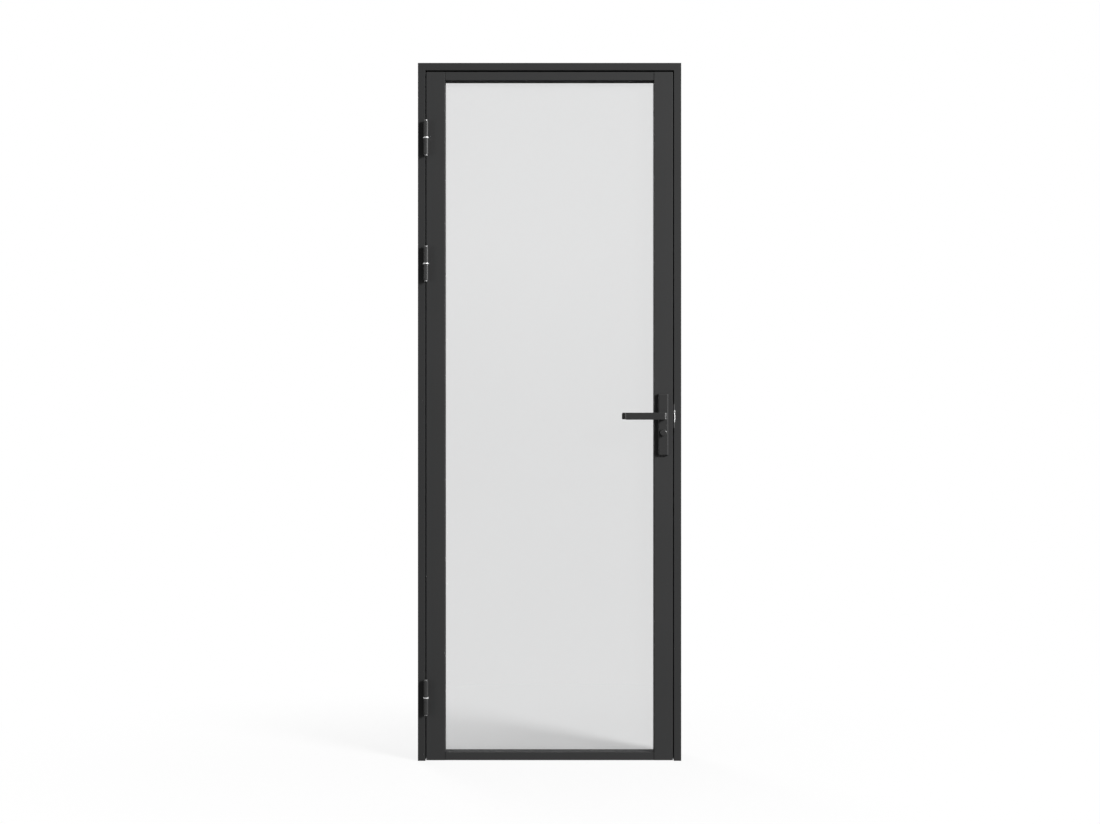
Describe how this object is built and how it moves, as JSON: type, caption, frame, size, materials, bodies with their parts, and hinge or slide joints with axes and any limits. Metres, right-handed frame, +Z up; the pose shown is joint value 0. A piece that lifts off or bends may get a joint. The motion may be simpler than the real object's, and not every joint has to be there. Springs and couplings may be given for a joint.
{
  "type": "glass door with frame",
  "caption": "Single-leaf glass door in a slim dark metal frame: one clear pane in narrow profiles, hung on barrel hinges, with a lever handle, latch and turn-operated dead bolt.",
  "frame": {"origin": "on the floor, in the middle of the frame's width and of the leaf's thickness", "axes": "+X across the doorway from the hinge side to the lock side, +Y from the pull face towards the stop side, +Z up; the leaf opens towards -Y"},
  "size_m": [0.8, 0.166, 2.12],
  "materials": {
    "coated_profile": "satin",
    "bare_aluminium": "satin",
    "seal_rubber": "matte",
    "pane_glass": "gloss",
    "black_steel": "satin",
    "bright_steel": "satin",
    "black_zinc": "satin",
    "zinc_steel": "satin"
  },
  "bodies": {
    "frame": {"hinge_jamb": "coated_profile", "lock_jamb": "coated_profile", "frame_header": "coated_profile", "corner_cleats": "bare_aluminium", "hinge_side_seal": "seal_rubber", "lock_side_seal": "seal_rubber", "head_seal": "seal_rubber", "strike_plate": "bright_steel", "strike_screws": "zinc_steel", "strike_backing_plate": "zinc_steel", "top_hinge_frame_flap": "black_steel", "upper_hinge_frame_flap": "black_steel", "bottom_hinge_frame_flap": "black_steel", "top_hinge_pin": "bright_steel", "upper_hinge_pin": "bright_steel", "bottom_hinge_pin": "bright_steel", "top_hinge_washer": "bright_steel", "upper_hinge_washer": "bright_steel", "bottom_hinge_washer": "bright_steel", "hinge_frame_screws": "zinc_steel", "hinge_frame_backing_plates": "zinc_steel"},
    "leaf": {"hinge_stile": "coated_profile", "lock_stile": "coated_profile", "top_rail": "coated_profile", "bottom_rail": "coated_profile", "rail_connectors": "bare_aluminium", "rail_screws": "zinc_steel", "glass_pane": "pane_glass", "front_glazing_gasket": "seal_rubber", "rear_glazing_gasket": "seal_rubber", "top_bead": "coated_profile", "bottom_bead": "coated_profile", "hinge_side_bead": "coated_profile", "lock_side_bead": "coated_profile", "setting_blocks": "seal_rubber", "top_hinge_door_flap": "black_steel", "upper_hinge_door_flap": "black_steel", "bottom_hinge_door_flap": "black_steel", "hinge_door_screws": "zinc_steel", "hinge_door_backing_plates": "zinc_steel", "lock_case": "zinc_steel", "lock_case_cover": "zinc_steel", "lock_faceplate": "bright_steel", "faceplate_screws": "zinc_steel", "lock_mounting_clips": "zinc_steel", "latch_spring": "zinc_steel", "front_handle_plate": "black_zinc", "rear_handle_plate": "black_zinc", "handle_plate_bolts": "zinc_steel"},
    "handle": {"front_lever": "black_zinc", "rear_lever": "black_zinc", "lever_spindle": "zinc_steel", "lever_grub_screws": "zinc_steel", "latch_follower": "zinc_steel"},
    "latch": {"latch_bolt": "bright_steel"},
    "thumb_turn": {"turn_knob": "black_zinc", "coin_release": "black_zinc", "bolt_crank": "zinc_steel"},
    "bolt": {"dead_bolt": "bright_steel"}
  },
  "joints": [
    {"name": "leaf_swing", "type": "hinge", "parent": "frame", "child": "leaf", "pos_m": [-0.3742, -0.0345, 1.05], "axis": [0, 0, -1], "range_deg": [0, 170]},
    {"name": "lever_turn", "type": "hinge", "parent": "leaf", "child": "handle", "pos_m": [0.3445, 0, 1.047], "axis": [0, -1, 0], "range_deg": [0, 40], "stiffness_Nm_per_rad": 1.5, "springref_deg": -34.38},
    {"name": "latch_slide", "type": "slide", "parent": "leaf", "child": "latch", "axis": [1, 0, 0], "range_m": [-0.01, 0], "deforming": ["latch_spring"]},
    {"name": "knob_turn", "type": "hinge", "parent": "leaf", "child": "thumb_turn", "pos_m": [0.3445, 0, 0.997], "axis": [0, 1, 0], "range_deg": [0, 90]},
    {"name": "bolt_slide", "type": "slide", "parent": "leaf", "child": "bolt", "axis": [1, 0, 0], "range_m": [0, 0.012]}
  ],
  "couplings": [
    {"joint": "latch_slide", "follows": "lever_turn", "m_per_rad": -0.014324},
    {"joint": "bolt_slide", "follows": "knob_turn", "m_per_rad": 0.0076394}
  ]
}
